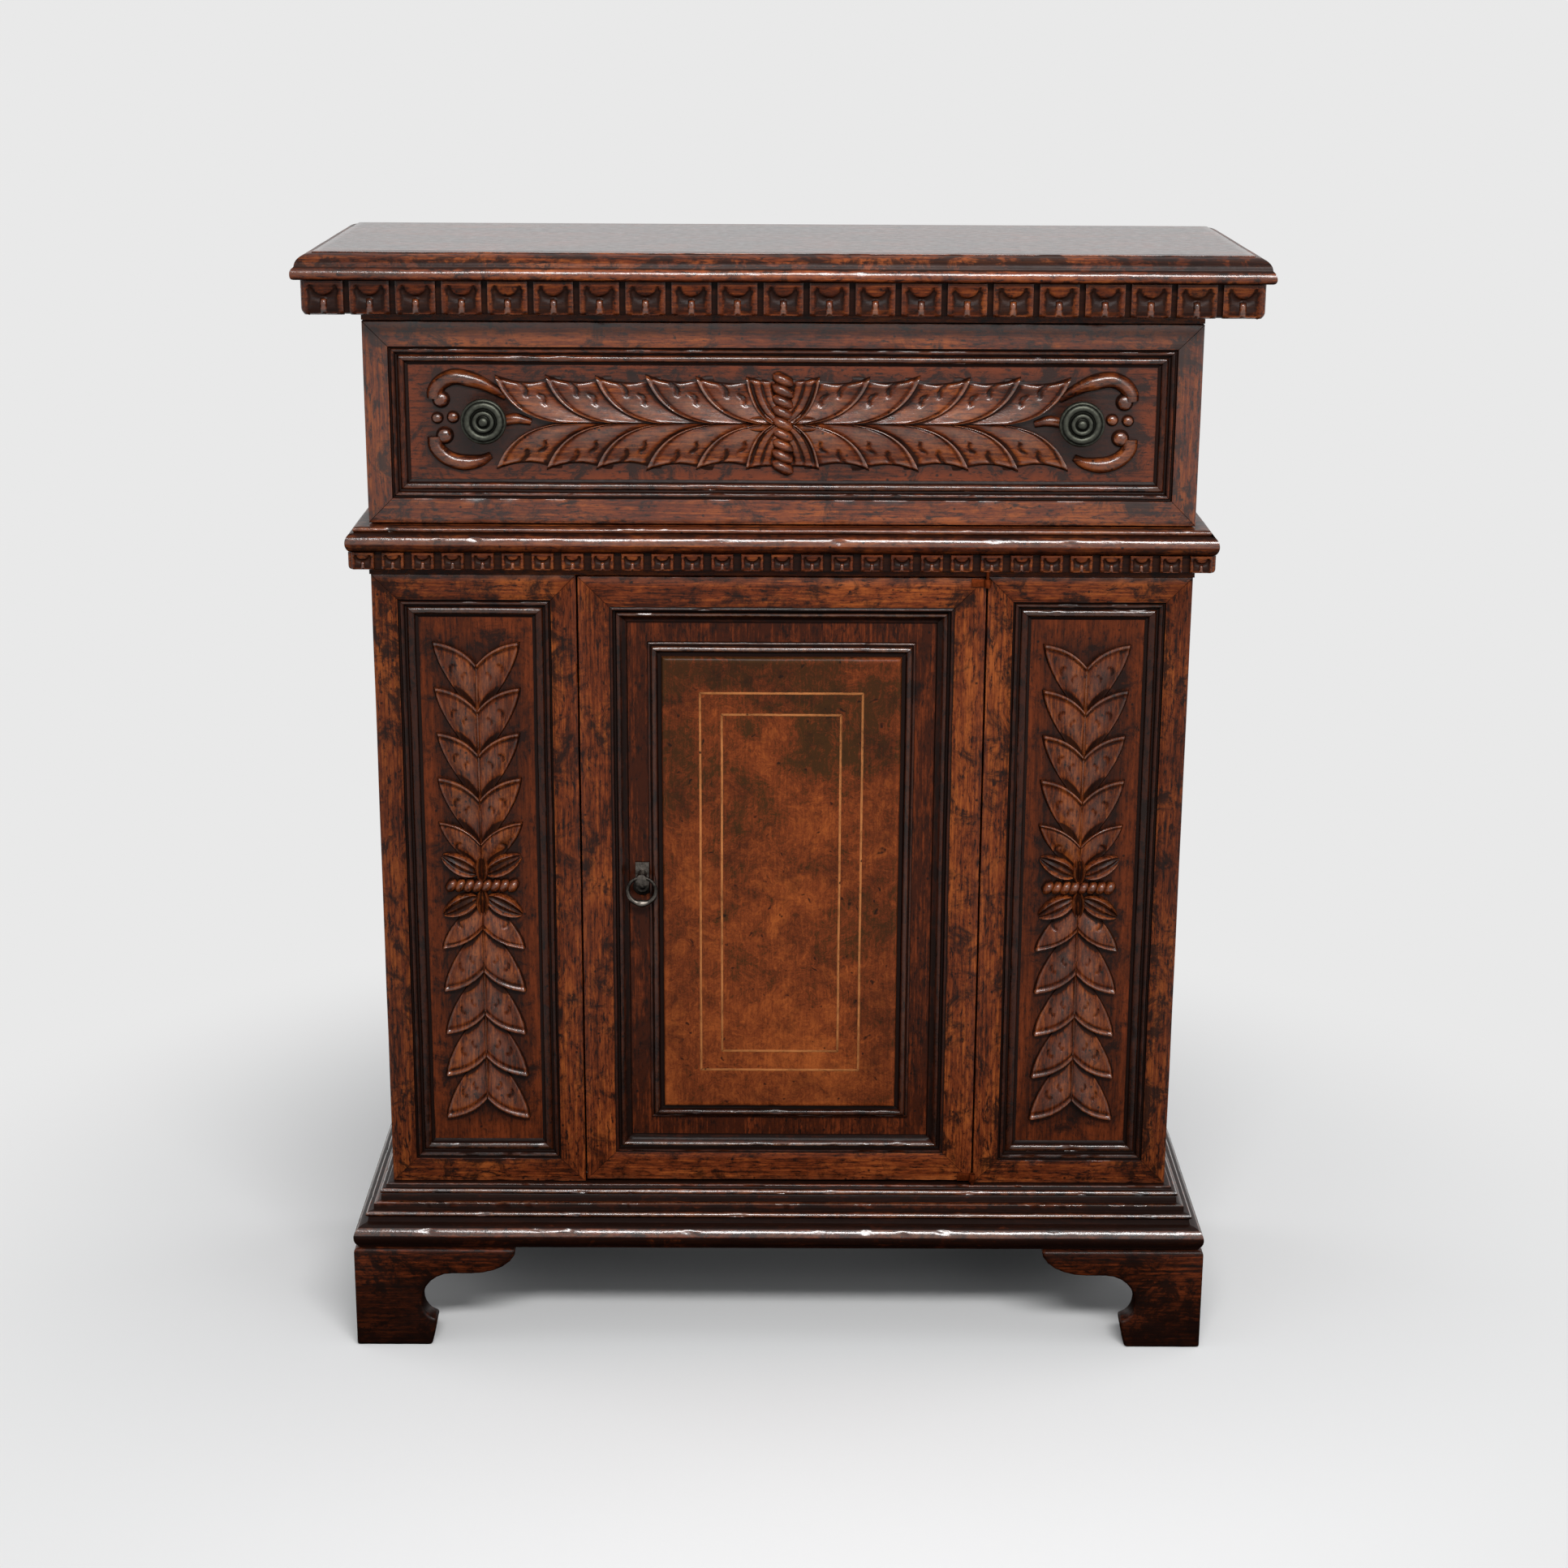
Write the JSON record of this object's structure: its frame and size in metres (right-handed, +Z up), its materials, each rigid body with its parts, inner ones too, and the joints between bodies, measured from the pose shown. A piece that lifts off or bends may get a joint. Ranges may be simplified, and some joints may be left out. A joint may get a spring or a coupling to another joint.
{
  "type": "credenza",
  "caption": "Carved walnut credenza: dentil-moulded top, carved drawer over a panelled door between laurel-carved pilasters, stepped base on scrolled bracket feet.",
  "frame": {"origin": "middle of the footprint, on the floor", "axes": "+X to the right seen from the front, +Y to the back, +Z up; the front faces -Y"},
  "size_m": [0.815, 0.2854, 1],
  "materials": {
    "walnut": "satin wax over aged walnut",
    "carved_walnut": "satin wax, dark patina in the recesses",
    "burl_veneer": "waxed figured veneer with light stringing",
    "dark_walnut": "dark patinated walnut",
    "inner_boards": "plain unpolished boards",
    "bronze": "dark patina",
    "iron": "blackened"
  },
  "bodies": {
    "carcass": {"top_board": "walnut", "top_dentil_front": "carved_walnut", "top_dentil_left": "carved_walnut", "top_dentil_right": "carved_walnut", "top_rail": "walnut", "side_panel_left": "walnut", "side_panel_right": "walnut", "back_panel": "inner_boards", "bottom_board": "inner_boards", "dust_board": "inner_boards", "shelf": "inner_boards", "shelf_cleat_left": "inner_boards", "shelf_cleat_right": "inner_boards", "waist_rail": "walnut", "waist_moulding_front": "carved_walnut", "waist_moulding_left": "carved_walnut", "waist_moulding_right": "carved_walnut", "pilaster_panel_left": "walnut", "pilaster_panel_right": "walnut", "pilaster_frame_left": "walnut", "pilaster_frame_right": "walnut", "pilaster_carving_left": "carved_walnut", "pilaster_carving_right": "carved_walnut", "base_moulding_front": "walnut", "base_moulding_left": "walnut", "base_moulding_right": "walnut", "base_rail_back": "inner_boards", "foot_front_left": "dark_walnut", "foot_front_left_return": "dark_walnut", "foot_front_right": "dark_walnut", "foot_front_right_return": "dark_walnut", "foot_rear_left": "dark_walnut", "foot_rear_left_return": "dark_walnut", "foot_rear_right": "dark_walnut", "foot_rear_right_return": "dark_walnut", "door_hinge_pin_bottom": "iron", "door_hinge_pin_top": "iron"},
    "drawer": {"drawer_front": "walnut", "drawer_frame_top": "walnut", "drawer_frame_bottom": "walnut", "drawer_frame_left": "walnut", "drawer_frame_right": "walnut", "drawer_carving": "carved_walnut", "drawer_side_left": "inner_boards", "drawer_side_right": "inner_boards", "drawer_back": "inner_boards", "drawer_bottom": "inner_boards", "drawer_knob_left": "bronze", "drawer_knob_right": "bronze"},
    "door": {"door_frame_top": "walnut", "door_frame_bottom": "walnut", "door_frame_left": "walnut", "door_frame_right": "walnut", "door_panel": "dark_walnut", "door_field": "burl_veneer", "door_pull_plate": "iron", "door_hinge_eye_top": "iron", "door_hinge_eye_bottom": "iron"},
    "pull_ring": {"door_pull_ring": "iron"}
  },
  "joints": [
    {"name": "drawer_slide", "type": "slide", "parent": "carcass", "child": "drawer", "axis": [0, -1, 0], "range_m": [0, 0.15]},
    {"name": "door_hinge", "type": "hinge", "parent": "carcass", "child": "door", "pos_m": [0.178, -0.10255, 0.437], "axis": [0, 0, 1], "range_deg": [0, 105]},
    {"name": "ring_hinge", "type": "hinge", "parent": "door", "child": "pull_ring", "pos_m": [-0.12395, -0.10345, 0.4475], "axis": [-1, 0, 0], "range_deg": [0, 95]}
  ]
}
